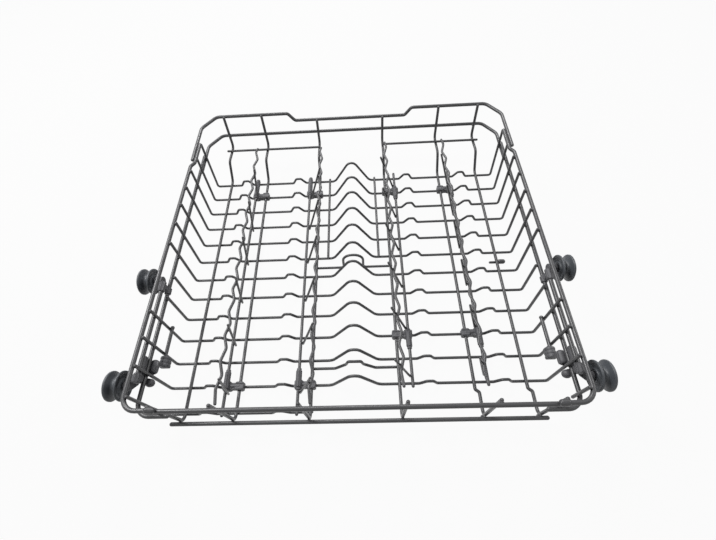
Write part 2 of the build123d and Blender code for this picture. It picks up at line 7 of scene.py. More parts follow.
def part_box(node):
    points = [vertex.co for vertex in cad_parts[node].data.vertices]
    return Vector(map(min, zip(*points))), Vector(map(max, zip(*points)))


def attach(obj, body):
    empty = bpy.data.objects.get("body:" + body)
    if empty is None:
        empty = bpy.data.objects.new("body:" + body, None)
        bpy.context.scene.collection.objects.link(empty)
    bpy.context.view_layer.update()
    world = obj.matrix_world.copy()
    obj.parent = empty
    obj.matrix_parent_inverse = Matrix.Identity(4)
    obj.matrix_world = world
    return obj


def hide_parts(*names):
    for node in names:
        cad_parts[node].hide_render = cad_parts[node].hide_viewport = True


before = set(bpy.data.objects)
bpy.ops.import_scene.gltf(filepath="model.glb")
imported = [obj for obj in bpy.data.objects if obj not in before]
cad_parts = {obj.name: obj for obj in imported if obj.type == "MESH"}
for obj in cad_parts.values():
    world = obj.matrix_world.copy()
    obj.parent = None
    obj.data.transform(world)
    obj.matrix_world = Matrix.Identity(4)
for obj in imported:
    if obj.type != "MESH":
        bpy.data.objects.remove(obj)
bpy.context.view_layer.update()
mm = 0.001
print("frame loaded:", len(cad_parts), "nodes")


def linear(code):  # sRGB hex to linear RGBA
    parts = [int(code[i:i + 2], 16) / 255 for i in (1, 3, 5)]
    return [p / 12.92 if p <= 0.04045 else ((p + 0.055) / 1.055) ** 2.4 for p in parts] + [1.0]


def addNode(tree, kind, settings=None, inputs=None):  # a socket is linked, anything else is set
    node = tree.nodes.new(kind)
    for key, value in (settings or {}).items():
        setattr(node, key, value)
    for key, value in (inputs or {}).items():
        if isinstance(value, bpy.types.NodeSocket):
            tree.links.new(value, node.inputs[key])
        else:
            node.inputs[key].default_value = value
    return node


noiseSpan = (0.3, 0.7)  # most of a noise texture's values lie between these


def startMaterial(name, finish):  # a tint that clouds between two colours
    material = bpy.data.materials.new(name)
    material.use_nodes = True
    tree = material.node_tree
    shader = tree.nodes["Principled BSDF"]
    place = addNode(tree, "ShaderNodeTexCoord").outputs["Object"]
    cloud = addNode(tree, "ShaderNodeTexNoise", None,
                    {"Vector": place, "Scale": 1 / (finish["cloudMm"] * mm), "Detail": finish["cloudDetail"]})
    tint = addNode(tree, "ShaderNodeMix", {"data_type": "RGBA"},
                   {0: cloud.outputs["Fac"], 6: linear(finish["dark"]), 7: linear(finish["light"])})
    tree.links.new(tint.outputs[2], shader.inputs["Base Color"])
    shader.inputs["IOR"].default_value = finish["ior"]
    return material, shader, place, cloud


def addGrain(tree, shader, place, finish):  # a fine relief
    grain = addNode(tree, "ShaderNodeTexNoise", None,
                    {"Vector": place, "Scale": 1 / (finish["grainMm"] * mm), "Detail": finish["grainDetail"]})
    bump = addNode(tree, "ShaderNodeBump", None,
                   {"Height": grain.outputs["Fac"], "Strength": finish["grain"],
                    "Distance": finish["grainDepthMm"] * mm})
    tree.links.new(bump.outputs["Normal"], shader.inputs["Normal"])
    return grain


def addUnevenGloss(tree, shader, noise, finish):
    rough = addNode(tree, "ShaderNodeMapRange", None,
                    {"Value": noise.outputs["Fac"], "From Min": noiseSpan[0], "From Max": noiseSpan[1],
                     "To Min": finish["roughLow"], "To Max": finish["roughHigh"]})
    tree.links.new(rough.outputs["Result"], shader.inputs["Roughness"])


# Nylon over steel wire, dipped and fused: an even satin skin, a soft stripe of light, faint orange peel
coating = dict(dark="#3e3e40", light="#4d4d4f", cloudMm=38, cloudDetail=3.0,
               grainMm=5.0,  # drawn coarser than the real 0.5 mm so that it shows
               grainDetail=2.0, grain=0.05, grainDepthMm=0.3,
               roughLow=0.32, roughHigh=0.38, ior=1.53, gloss=0.5)


def makeCoating():
    material, shader, place = startMaterial("nylonCoatedSteelWire", coating)[:3]
    peel = addGrain(material.node_tree, shader, place, coating)
    addUnevenGloss(material.node_tree, shader, peel, coating)
    shader.inputs["Specular IOR Level"].default_value = coating["gloss"]
    return material


# Polypropylene, moulded in a spark-eroded tool: matt mid grey with a fine even grain
moulded = dict(dark="#535356", light="#636366", cloudMm=14, cloudDetail=2.0,
               grainMm=0.9,  # drawn coarser than the real 0.2 mm so that it shows
               grainDetail=1.0, grain=0.16, grainDepthMm=0.2, rough=0.52, ior=1.49)


def makeMoulded():
    material, shader, place = startMaterial("mouldedPolypropylene", moulded)[:3]
    addGrain(material.node_tree, shader, place, moulded)
    shader.inputs["Roughness"].default_value = moulded["rough"]
    return material


# Acetal, moulded and worn bright by the rails: dark, smooth, with a broad soft highlight
acetal = dict(dark="#44474c", light="#55595d", cloudMm=9, cloudDetail=3.0, swirl=0.6,
              grainMm=1.3, grainDetail=2.0, grain=0.06, grainDepthMm=0.2,
              roughLow=0.34, roughHigh=0.46, ior=1.48)


def makeAcetal():
    material, shader, place, cloud = startMaterial("mouldedAcetal", acetal)
    cloud.inputs["Distortion"].default_value = acetal["swirl"]
    addUnevenGloss(material.node_tree, shader, cloud, acetal)
    addGrain(material.node_tree, shader, place, acetal)
    return material


wireCoat = makeCoating()
clipPlastic = makeMoulded()
rollerPlastic = makeAcetal()
print("materials made")

rounding = dict(capRings=8, beadSegments=8, beadRings=5)  # of the domed wire ends and the weld beads


def startTree(name, given, sizes, made):  # sizes are the tree's named inputs and their kinds
    tree = bpy.data.node_groups.new(name, "GeometryNodeTree")
    tree.interface.new_socket(given, in_out="INPUT", socket_type="NodeSocketGeometry")
    for size, kind in sizes:
        tree.interface.new_socket(size, in_out="INPUT", socket_type=kind)
    tree.interface.new_socket(made, in_out="OUTPUT", socket_type="NodeSocketGeometry")
    return tree, addNode(tree, "NodeGroupInput").outputs


def endTree(tree, shape, coat, made):
    real = addNode(tree, "GeometryNodeRealizeInstances", None, {"Geometry": shape.outputs[0]})
    smooth = addNode(tree, "GeometryNodeSetShadeSmooth", None, {"Geometry": real.outputs[0]})
    coated = addNode(tree, "GeometryNodeSetMaterial", None, {"Geometry": smooth.outputs[0], "Material": coat})
    addNode(tree, "NodeGroupOutput", None, {made: coated.outputs[0]})


# Node tree: every polyline becomes a bent round wire with domed ends
def makeWireTree():
    tree, given = startTree("bentWire", "Route", (
        ("Diameter", "NodeSocketFloat"), ("Bend Steps", "NodeSocketInt"), ("Sides", "NodeSocketInt"),
        ("Coating", "NodeSocketMaterial")), "Wire")
    line = addNode(tree, "GeometryNodeMeshToCurve", None, {"Mesh": given["Route"]})
    bend = addNode(tree, "GeometryNodeInputNamedAttribute", {"data_type": "FLOAT"}, {"Name": "bend"})
    bent = addNode(tree, "GeometryNodeFilletCurve", {"mode": "POLY"},
                   {"Curve": line.outputs[0], "Count": given["Bend Steps"],
                    "Radius": bend.outputs["Attribute"], "Limit Radius": True})
    half = addNode(tree, "ShaderNodeMath", {"operation": "DIVIDE"}, {0: given["Diameter"], 1: 2.0})
    ring = addNode(tree, "GeometryNodeCurvePrimitiveCircle", None,
                   {"Resolution": given["Sides"], "Radius": half.outputs[0]})
    tube = addNode(tree, "GeometryNodeCurveToMesh", None,
                   {"Curve": bent.outputs[0], "Profile Curve": ring.outputs[0], "Fill Caps": True})
    ends = addNode(tree, "GeometryNodeCurveEndpointSelection", None, {"Start Size": 1, "End Size": 1})
    ball = addNode(tree, "GeometryNodeMeshUVSphere", None,
                   {"Segments": given["Sides"], "Rings": rounding["capRings"], "Radius": half.outputs[0]})
    caps = addNode(tree, "GeometryNodeInstanceOnPoints", None,
                   {"Points": bent.outputs[0], "Selection": ends.outputs[0],
                    "Instance": ball.outputs["Mesh"]})
    both = addNode(tree, "GeometryNodeJoinGeometry", None, {"Geometry": tube.outputs[0]})
    tree.links.new(caps.outputs[0], both.inputs[0])
    endTree(tree, both, given["Coating"], "Wire")
    return tree


# Node tree: a bead of fused coating at every point where two wires meet
def makeBeadTree():
    tree, given = startTree("weldBeads", "Spots", (
        ("Bead Size", "NodeSocketFloat"), ("Coating", "NodeSocketMaterial")), "Beads")
    half = addNode(tree, "ShaderNodeMath", {"operation": "DIVIDE"}, {0: given["Bead Size"], 1: 2.0})
    ball = addNode(tree, "GeometryNodeMeshUVSphere", None,
                   {"Segments": rounding["beadSegments"], "Rings": rounding["beadRings"],
                    "Radius": half.outputs[0]})
    beads = addNode(tree, "GeometryNodeInstanceOnPoints", None,
                    {"Points": given["Spots"], "Instance": ball.outputs["Mesh"]})
    endTree(tree, beads, given["Coating"], "Beads")
    return tree


wireTree = makeWireTree()
beadTree = makeBeadTree()


def bakeTree(name, mesh, tree, values):  # runs the tree on a mesh and keeps the result as a plain mesh
    source = bpy.data.objects.new(name, mesh)
    bpy.context.scene.collection.objects.link(source)
    modifier = source.modifiers.new(tree.name, "NODES")
    modifier.node_group = tree
    for item in tree.interface.items_tree:
        if item.in_out == "INPUT" and item.name in values:
            modifier[item.identifier] = values[item.name]
    depsgraph = bpy.context.evaluated_depsgraph_get()
    plain = bpy.data.meshes.new_from_object(source.evaluated_get(depsgraph), depsgraph=depsgraph)
    source.modifiers.remove(modifier)
    source.data = plain
    plain.name = name
    bpy.data.meshes.remove(mesh)
    return source


def wirePiece(name, body, replaced, diameter, routes, steps=6, sides=16):  # routes are (points, bends) in mm
    points, edges, bends = [], [], []
    for corners, radii in routes:
        run = [Vector(corner) for corner in corners]
        for end, near in ((0, 1), (-1, -2)):  # room for the domed ends
            run[end] = run[end] + (run[near] - run[end]).normalized() * diameter / 2
        first = len(points)
        points += [point * mm for point in run]
        edges += [(first + i, first + i + 1) for i in range(len(run) - 1)]
        bends += [0.0] + [radius * mm for radius in radii] + [0.0]
    mesh = bpy.data.meshes.new(name + "Route")
    mesh.from_pydata(points, edges, [])
    mesh.attributes.new("bend", "FLOAT", "POINT").data.foreach_set("value", bends)
    piece = bakeTree(name, mesh, wireTree,
                     {"Diameter": diameter * mm, "Bend Steps": steps, "Sides": sides, "Coating": wireCoat})
    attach(piece, body)
    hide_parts(*replaced)
    return piece


def beadPiece(name, body, spots, size):  # spots in mm
    mesh = bpy.data.meshes.new(name + "Spots")
    mesh.from_pydata([Vector(spot) * mm for spot in spots], [], [])
    piece = bakeTree(name, mesh, beadTree, {"Bead Size": size * mm, "Coating": wireCoat})
    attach(piece, body)
    return piece


# Shared layout in mm, as in the CAD model, but the cross and long wires are 0.3 and 0.4 mm thicker
basket = dict(rimX=236.5, railY=228.5, rimZ=99.0, midZ=67.0, railD=5.0, crossD=3.7, longD=4.2,
              gap=0.05, wallGap=0.1, firstCrossY=169.0, pitch=32.0, crossCount=12,
              longX=(55.5, 147.5, 211.5), rodX=(71.5, 163.5), wallLean=6.0, lap=5.05, endOver=3.0)
crossZ = basket["crossD"] / 2
longZ = basket["crossD"] + basket["longD"] / 2 + basket["gap"]
wallTopX = basket["rimX"] - basket["railD"] / 2 - crossZ - basket["wallGap"]
uprightY = basket["railY"] - basket["railD"] / 2 - basket["longD"] / 2 - basket["gap"]
innerLapX = basket["rimX"] - basket["lap"]


def crossY(number):
    return basket["firstCrossY"] - (number - 1) * basket["pitch"]


def wallX(height):  # centre of the wall wires at a height
    return wallTopX + basket["wallLean"] * (basket["rimZ"] - height) / (basket["rimZ"] - crossZ)


def bothHands(half):  # a right-hand half, continued on the left
    return half + [(-x, y, z) for x, y, z in reversed(half)]


midX = wallX(basket["midZ"]) + crossZ + basket["railD"] / 2 + basket["wallGap"]
rearMidZ = basket["midZ"] - basket["lap"]
rearMidX = wallX(rearMidZ) + crossZ + basket["railD"] / 2 + 2 * basket["wallGap"]

# Rim, rails and front bars
rails = dict(notchZ=85.5, notchHalf=90.0, notchSlope=10.0, notchBend=6.0, legEnd=128.5, lapEnd=166.5,
             jogY=121.0, jogHalf=3.5, jogBend=5.0, midLapEnd=175.5, midLegEnd=143.5, bevelX=20.0, bevelY=26.0,
             bend=16.0, rearBend=12.0, returnEnd=200.0, barHalf=216.0, lowHalf=224.0, lowZ=15.0,
             lump=12.0, lumpD=7.2, lumpDrop=1.5, lumpRise=0.5)


def railRoutes():
    rim, rear, mid, rimX = basket["rimZ"], basket["railY"], basket["midZ"], basket["rimX"]
    bend, rearBend, notchBend = rails["bend"], rails["rearBend"], rails["notchBend"]
    rearHalf = [(rimX, rails["legEnd"], rim), (rimX, rear - rails["bevelY"], rim),
                (rimX - rails["bevelX"], rear, rim),
                (rails["notchHalf"] + rails["notchSlope"], rear, rim),
                (rails["notchHalf"], rear, rails["notchZ"])]
    midHalf = [(rearMidX, rails["midLegEnd"], rearMidZ), (rearMidX, rear - rails["bevelY"], rearMidZ),
               (rearMidX - rails["bevelX"], rear, rearMidZ)]
    routes = [(bothHands(rearHalf), [bend, rearBend] + [notchBend] * 4 + [rearBend, bend]),
              (bothHands(midHalf), [bend, rearBend, rearBend, bend])]
    for side in (-1, 1):
        routes.append(([(side * innerLapX, rails["lapEnd"], rim),
                        (side * innerLapX, rails["jogY"] + rails["jogHalf"], rim),
                        (side * rimX, rails["jogY"] - rails["jogHalf"], rim), (side * rimX, -rear, rim),
                        (side * rails["returnEnd"], -rear, rim)],
                       [rails["jogBend"], rails["jogBend"], bend]))
        routes.append(([(side * midX, rails["midLapEnd"], mid), (side * midX, -rear, mid),
                        (side * rails["returnEnd"], -rear, mid)], [bend]))
    for half, height in ((rails["barHalf"], rim - basket["lap"]), (rails["lowHalf"], rails["lowZ"])):
        routes.append(([(-half, -rear, height), (half, -rear, height)], []))
    return routes


def lumpRoutes():  # coating pooled on the rim's turned-in ends
    start, front, rim, rise = rails["returnEnd"], -basket["railY"], basket["rimZ"], rails["lumpRise"]
    return [([(side * start, front, rim - rails["lumpDrop"]),
              (side * (start + rails["lump"]), front + rise, rim + rise)], []) for side in (-1, 1)]


railNodes = ["rear_rim", "rear_mid_rail", "side_rim_left", "side_rim_right", "side_mid_rail_left",
             "side_mid_rail_right", "front_top_bar", "front_low_bar"]
wirePiece("rimAndRails", "frame", railNodes, basket["railD"], railRoutes(), steps=8, sides=20)
wirePiece("railEndLumps", "frame", ["side_rim_left", "side_rim_right"], rails["lumpD"], lumpRoutes())
print("rim and rails made")

# Cross wires: walls, four low bumps and the ridge over the water pipe
cross = dict(peakRise=49.5, peakHalf=30.0, peakBend=9.0, footBend=11.0, bumpRise=10.0, bumpOffset=9.5,
             inSlope=8.0, flat=8.0, outSlope=6.0, bumpBend=3.4, floorBend=3.6, rimOver=4.5,
             endsAtRail=8, endsAtCarrier=9,  # the numbers of the two that stop short of the rim
             carrierZ=85.0, carrierD=5.0, carrierFront=-190.0)


def bumpCorners(foot):
    crest = foot + cross["inSlope"]
    edge = crest + cross["flat"]
    return [(foot, 0), (crest, cross["bumpRise"]), (edge, cross["bumpRise"]), (edge + cross["outSlope"], 0)]


floorCorners = [(cross["peakHalf"], 0)]
for rodX in basket["rodX"]:
    floorCorners += bumpCorners(rodX + cross["bumpOffset"])
floorBends = [cross["footBend"]] + [cross["bumpBend"]] * (len(floorCorners) - 1)


def wallEnd(number):
    if number == cross["endsAtRail"]:
        top = basket["midZ"] + basket["endOver"]
    elif number == cross["endsAtCarrier"]:
        top = cross["carrierZ"] - cross["carrierD"] / 2 - basket["crossD"] - basket["endOver"]
    elif crossY(number) > rails["jogY"]:
        top = basket["rimZ"] - basket["railD"] / 2 - 2 * basket["gap"]
    else:
        top = basket["rimZ"] + cross["rimOver"]
    return wallX(top), top


def crossRoutes():
    routes = []
    wallFoot = (wallX(crossZ), crossZ)
    for number in range(1, basket["crossCount"] + 1):
        half = [(x, crossZ + rise) for x, rise in floorCorners] + [wallFoot, wallEnd(number)]
        bends = floorBends + [cross["floorBend"]]
        corners = [(-x, z) for x, z in reversed(half)] + [(0, crossZ + cross["peakRise"])] + half
        routes.append(([(x, crossY(number), z) for x, z in corners],
                       bends[::-1] + [cross["peakBend"]] + bends))
    number = basket["crossCount"] + 1  # the front one: a short wire at the left, a wall piece at the right
    left = [(basket["longX"][0] - basket["endOver"], crossZ)]
    left += [(x, crossZ + rise) for x, rise in floorCorners[1:]] + [wallFoot, wallEnd(number)]
    routes.append(([(-x, crossY(number), z) for x, z in left], floorBends[1:] + [cross["floorBend"]]))
    low = basket["midZ"] - 2 * basket["endOver"] - basket["crossD"]
    routes.append(([(x, crossY(number), z) for x, z in ((wallX(low), low), wallEnd(number))], []))
    return routes


crossNodes = [f"cross_wire_{number:02d}" for number in range(1, basket["crossCount"] + 1)]
wirePiece("crossWires", "frame", crossNodes + ["front_cross_wire_left", "front_wall_piece_right"],
          basket["crossD"], crossRoutes(), steps=4, sides=14)
print("cross wires made")

# Long wires from the front bar along the floor and up the stepped rear wall
longs = dict(shelfZ=40.0, shelfY=189.0, riseY=175.0, bend=8.0,
             toeIn=0.037, toeAtRise=0.4, toeAtShort=0.5, toeAtWall=0.6, toeAtRim=0.9,  # shares of the toe-in
             joggle=4.5, joggleFrom=5, joggleY=-194.5, joggleHalf=1.8, joggleBend=2.4)
longNodes = [f"long_wire_{place}" for place in range(1, 2 * len(basket["longX"]) + 1)]


def longRoutes():
    routes = []
    for place, x in enumerate([-x for x in reversed(basket["longX"])] + list(basket["longX"]), start=1):
        top = basket["rimZ"] if abs(x) > rails["notchHalf"] else rails["notchZ"]
        step = longs["joggle"] if place >= longs["joggleFrom"] else 0.0
        toe = longs["toeIn"] * x
        corners = [(x, -uprightY, basket["rimZ"] - basket["lap"] + basket["railD"] / 2),
                   (x + step, -uprightY, longZ)]
        bends = [longs["bend"]]
        if step:
            corners += [(x + step, longs["joggleY"] - longs["joggleHalf"], longZ),
                        (x, longs["joggleY"] + longs["joggleHalf"], longZ)]
            bends += [longs["joggleBend"]] * 2
        corners += [(x, longs["riseY"], longZ),
                    (x - longs["toeAtRise"] * toe, longs["shelfY"], longs["shelfZ"]),
                    (x - longs["toeAtWall"] * toe, uprightY, longs["shelfZ"]),
                    (x - toe, uprightY, top + basket["endOver"])]
        routes.append((corners, bends + [longs["bend"]] * 3))
    return routes


wirePiece("longWires", "frame", longNodes, basket["longD"], longRoutes())
print("long wires made")

# Small wires on the floor, the shelf and the walls
small = dict(guideX=38.5, guideEnd=6, holderY=-8.0, archHalf=14.5, archRise=33.5, archBend=13.5,
             restY=-161.5, restFoot=26.0, restHalf=8.0, restRise=27.5, restSpread=3.0, restKink=0.6,
             restBend=3.0, shortY=210.0, pinLength=20.5, pinEnd=9.0, pinOver=3.0, pinEndD=7.0,
             stayZ=48.0, stayD=4.4, bend=5.0)
pinX = basket["longX"][2] + small["pinLength"] / 2
stayX = wallX(small["stayZ"]) - basket["crossD"] - basket["gap"]


def shelfAndGuideRoutes():
    routes = []
    inner, outer, over = basket["longX"][0], basket["longX"][2], basket["endOver"]
    shelfTop = longs["shelfZ"] + basket["longD"] / 2 + crossZ + basket["gap"]
    guideZ = basket["crossD"] + crossZ + basket["gap"]
    for side in (-1, 1):
        routes.append(([(side * (inner - over), small["shortY"], shelfTop),
                        (side * (outer + over), small["shortY"], shelfTop)], []))
        routes.append(([(side * small["guideX"], crossY(1) + over, guideZ),
                        (side * small["guideX"], crossY(small["guideEnd"]) - over, guideZ)], []))
    return routes


def pipeHolderRoutes():
    end, bend = basket["longX"][0] + basket["endOver"], small["bend"]
    archHalf, archBend = small["archHalf"], small["archBend"]
    arch = [(end, small["holderY"], crossZ), (archHalf, small["holderY"], crossZ),
            (archHalf, small["holderY"], crossZ + small["archRise"])]
    restHalf, restRise, restBend = small["restHalf"], small["restRise"], small["restBend"]
    rest = [(end, small["restY"], crossZ), (small["restFoot"], small["restY"], crossZ),
            (restHalf + small["restSpread"], small["restY"], crossZ + small["restKink"] * restRise),
            (restHalf, small["restY"], crossZ + restRise)]
    return [(bothHands(arch), [bend, archBend, archBend, bend]),
            (bothHands(rest), [bend, bend, restBend, restBend, bend, bend])]


def pinRoute(start, end, height):
    return ([(start, small["holderY"], height), (end, small["holderY"], height)], [])


def sideRoutes(x, rear, front, height):  # one straight wire along each wall
    return [([(side * x, rear, height), (side * x, front, height)], []) for side in (-1, 1)]


smallNodes = ["rear_short_wires", "pipe_guides", "pipe_holder_rear", "pipe_holder_front", "stub_pin"]
pinStart = basket["longX"][2] - small["pinLength"] / 2
wirePiece("smallWires", "frame", smallNodes, basket["crossD"],
          shelfAndGuideRoutes() + pipeHolderRoutes() + [pinRoute(pinStart, pinX, crossZ)])
wirePiece("stubPinEnd", "frame", ["stub_pin"], small["pinEndD"],
          [pinRoute(pinX - small["pinEnd"], pinX + small["pinOver"], small["pinEndD"] / 2)])
low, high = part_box("stay_wires")
wirePiece("stayWires", "frame", ["stay_wires"], small["stayD"],
          sideRoutes(stayX, high[1] / mm, low[1] / mm, small["stayZ"]))
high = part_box("carrier_wires")[1]
carrierX = high[0] / mm - cross["carrierD"] / 2
wirePiece("carrierWires", "frame", ["carrier_wires"], cross["carrierD"],
          sideRoutes(carrierX, high[1] / mm, cross["carrierFront"], cross["carrierZ"]))
print("small wires made")

# Folding rows: hinge rod, tines and the wavy wire, each row on its own body
fold = dict(rodZ=11.0, rodD=4.0, tineD=3.0, tineCount=6, tineEvery=2, tineTop=69.0, tineStub=5.0,
            waveD=3.6, waveLevel=50.0, waveDepth=4.6, waveBend=9.0, waveMargin=4.0, rearOver=24.0, weldD=2.9)
rows = dict(a=dict(side=-1, place=1, lean=10.0, wave=1, shift=-9.5, rear=34.0, front=38.0, waveFront=4.0),
            b=dict(side=-1, place=0, lean=18.0, wave=-1, shift=-9.5, rear=34.0, front=38.0, waveFront=4.0),
            c=dict(side=1, place=0, lean=18.0, wave=1, shift=8.0, rear=37.0, front=7.5, waveFront=-11.0),
            d=dict(side=1, place=1, lean=17.0, wave=1, shift=8.0, rear=37.0, front=7.5, waveFront=-11.0))
cornerShare = math.tan(math.pi / 8)  # the CAD's wires have eight flats


def waveSwings(rear, front):  # (y, swing) at each turn of the wavy wire
    half, depth, margin = basket["pitch"] / 2, fold["waveDepth"], fold["waveMargin"]
    turns = [(basket["firstCrossY"] + half * (1 - step), depth * ((step + 1) % 2))
             for step in range(2 * (basket["crossCount"] + 2))]
    turns = [(y, swing) for y, swing in turns if front + margin < y < rear - margin]
    return [(rear, depth / 2)] + turns + [(front, depth / 2)]


def makeRow(letter, row):
    body = f"fold_row_{letter}"
    turn = math.radians(row["lean"])
    outward = Vector((row["side"] * math.cos(turn), 0, math.sin(turn)))
    along = Vector((-row["side"] * math.sin(turn), 0, math.cos(turn)))
    base = Vector((row["side"] * basket["rodX"][row["place"]], 0, fold["rodZ"]))
    rodR, tineR, waveR, gap = fold["rodD"] / 2, fold["tineD"] / 2, fold["waveD"] / 2, basket["gap"]
    tineMiddle = base - outward * (rodR + tineR + gap)
    rodRear, rodFront = crossY(2) + row["rear"], crossY(basket["crossCount"]) - row["front"]
    tineY = [crossY(2) + row["shift"] - count * fold["tineEvery"] * basket["pitch"]
             for count in range(fold["tineCount"])]
    wirePiece(f"hingeRod.{letter}", body, [body + "_rod"], fold["rodD"],
              [([base + Vector((0, rodRear, 0)), base + Vector((0, rodFront, 0))], [])])
    wirePiece(f"tines.{letter}", body, [body + "_tines"], fold["tineD"],
              [([tineMiddle - along * fold["tineStub"] + Vector((0, y, 0)),
                 tineMiddle + along * fold["tineTop"] + Vector((0, y, 0))], []) for y in tineY])
    half = basket["pitch"] / 2
    slope = fold["waveDepth"] / half
    touch = tineR * (1 + slope * cornerShare) + waveR * math.sqrt(1 + slope ** 2) + gap
    atTine = fold["waveDepth"] * abs(row["shift"]) / half
    waveIn = tineMiddle + outward * (row["wave"] * touch - atTine) + along * fold["waveLevel"]
    swings = waveSwings(rodRear + fold["rearOver"], rodFront + row["waveFront"])
    wirePiece(f"wavyWire.{letter}", body, [body + "_wave"], fold["waveD"],
              [([waveIn + outward * swing + Vector((0, y, 0)) for y, swing in swings],
                [fold["waveBend"]] * (len(swings) - 2))], steps=5)
    spots = []
    for y in tineY:  # on the rod and on the wavy wire
        spots.append(tineMiddle + outward * tineR + Vector((0, y, 0)))
        spots.append(tineMiddle + outward * row["wave"] * tineR + along * fold["waveLevel"]
                     + Vector((0, y, 0)))
    beadPiece(f"tineWelds.{letter}", body, spots, fold["weldD"])


for letter, row in rows.items():
    makeRow(letter, row)
print("folding rows made")

# Fused coating where the fixed wires meet, and a knob on each stay wire
beads = dict(size=3.3, railSize=3.8, knobSize=5.6, knobWire=10, knobIn=2.0)


def floorSpots():
    spots = []
    for side in (-1, 1):
        for x in basket["longX"]:
            spots += [(side * x, crossY(number), basket["crossD"])
                      for number in range(1, basket["crossCount"] + 1)]
            spots.append((side * x * (1 - longs["toeAtShort"] * longs["toeIn"]), small["shortY"],
                          longs["shelfZ"] + basket["longD"] / 2))
    return spots + [(side * small["guideX"], crossY(number), basket["crossD"]) for side in (-1, 1)
                    for number in range(1, small["guideEnd"] + 1)]


def wallSpots():
    spots = []
    shortOnes = (cross["endsAtRail"], cross["endsAtCarrier"])
    for side in (-1, 1):
        for number in range(1, basket["crossCount"] + 2):
            spots.append((side * (wallX(basket["midZ"]) + crossZ), crossY(number), basket["midZ"]))
            if number not in shortOnes and crossY(number) < rails["jogY"]:
                spots.append((side * (wallX(basket["rimZ"]) + crossZ), crossY(number), basket["rimZ"]))
        for x in basket["longX"]:
            for height in (basket["rimZ"] - basket["lap"], rails["lowZ"]):
                spots.append((side * x, -uprightY - basket["longD"] / 2, height))
            top = basket["rimZ"] if x > rails["notchHalf"] else rails["notchZ"]
            for height in (top, rearMidZ):
                spots.append((side * x * (1 - longs["toeIn"] * longs["toeAtRim"]),
                              uprightY + basket["longD"] / 2, height))
    return spots


beadPiece("floorWelds", "frame", floorSpots(), beads["size"])
beadPiece("wallWelds", "frame", wallSpots(), beads["railSize"])
knobY = crossY(beads["knobWire"]) + basket["endOver"] - beads["knobIn"]
knobSpots = [(side * stayX, knobY, small["stayZ"]) for side in (-1, 1)]
beadPiece("stayKnobs", "frame", knobSpots, beads["knobSize"])
print("weld beads made")

# Spool rollers, turned from a profile that is rounded at both flanges
spool = dict(innerX=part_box("roller_front_right")[0][0] / mm, rim=2.4, groove=10.0, flangeR=16.5, hubR=9.5,
             boreR=4.1, boreDepth=3.2, dome=3.6, domeEdge=0.5, domeSteps=8, waistEdge=0.9, waistDrop=2.2,
             waistSteps=8, z=80.5, steps=72,
             # points along the axle and below the hub or the flange, at each edge in turn
             hubEdge=((0.0, 1.6), (0.3, 1.2), (1.5, 0.9)), recess=((1.5, 2.6), (0.3, 2.2), (0.0, 1.8)),
             innerEdge=((0.0, 0.9), (0.25, 0.35), (0.8, 0.0)),
             innerBack=((-0.7, 0.0), (-0.15, 0.25), (0.2, 0.8)),
             outerBack=((-0.2, 0.8), (0.15, 0.25), (0.7, 0.0)), outerEdge=((-0.4, 0.15),),
             bodies={"roller_front_left": (-1, -198.5), "roller_front_right": (1, -198.5),
                     "roller_middle_left": (-1, -67.5), "roller_middle_right": (1, -67.5)})


def edgePoints(start, radius, steps):
    return [(start + along, radius - below) for along, below in steps]


def spoolProfile():  # (along the axle, radius), from the bore outwards
    rim, groove, flange, hub = spool["rim"], spool["groove"], spool["flangeR"], spool["hubR"]
    out = rim + groove
    face = out + rim
    points = [(spool["boreDepth"], spool["boreR"]), (0.0, spool["boreR"])]
    points += edgePoints(0.0, hub, spool["hubEdge"]) + edgePoints(0.0, flange, spool["recess"])
    points += edgePoints(0.0, flange, spool["innerEdge"]) + edgePoints(rim, flange, spool["innerBack"])
    waistStart, waistLength = rim + spool["waistEdge"], groove - 2 * spool["waistEdge"]
    for step in range(spool["waistSteps"] + 1):  # hollow waist between the flanges
        share = step / spool["waistSteps"]
        sag = (2 * share - 1) ** 2
        points.append((waistStart + waistLength * share, hub + (flange - hub - spool["waistDrop"]) * sag))
    points += edgePoints(out, flange, spool["outerBack"]) + edgePoints(face, flange, spool["outerEdge"])
    ball = (flange ** 2 + spool["dome"] ** 2) / (2 * spool["dome"])
    for step in range(1, spool["domeSteps"] + 1):
        radius = (flange - spool["domeEdge"]) * (1 - step / spool["domeSteps"])
        points.append((face + spool["dome"] - ball + math.sqrt(ball ** 2 - radius ** 2), radius))
    return points


def makeRoller(body, side, y):
    mesh = bmesh.new()
    chain = [mesh.verts.new((side * (spool["innerX"] + x) * mm, y * mm, (spool["z"] + radius) * mm))
             for x, radius in spoolProfile()]
    lines = [mesh.edges.new(pair) for pair in zip(chain, chain[1:])]
    bmesh.ops.spin(mesh, geom=chain + lines, cent=(0, y * mm, spool["z"] * mm), axis=(1, 0, 0),
                   angle=2 * math.pi, steps=spool["steps"], use_duplicate=False)
    bmesh.ops.remove_doubles(mesh, verts=mesh.verts, dist=1e-6)
    bmesh.ops.recalc_face_normals(mesh, faces=mesh.faces)
    for face in mesh.faces:
        face.smooth = True
    data = bpy.data.meshes.new(body + ".spool")
    mesh.to_mesh(data)
    mesh.free()
    data.materials.append(rollerPlastic)
    piece = bpy.data.objects.new("spool." + body, data)
    bpy.context.scene.collection.objects.link(piece)
    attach(piece, body)
    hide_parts(body)


for body, (side, y) in spool["bodies"].items():
    makeRoller(body, side, y)
print("rollers made")

# Mouldings are built up from convex lumps, fused into one skin and softened
melt = dict(voxel=0.42, smooth=4, keep=0.4)


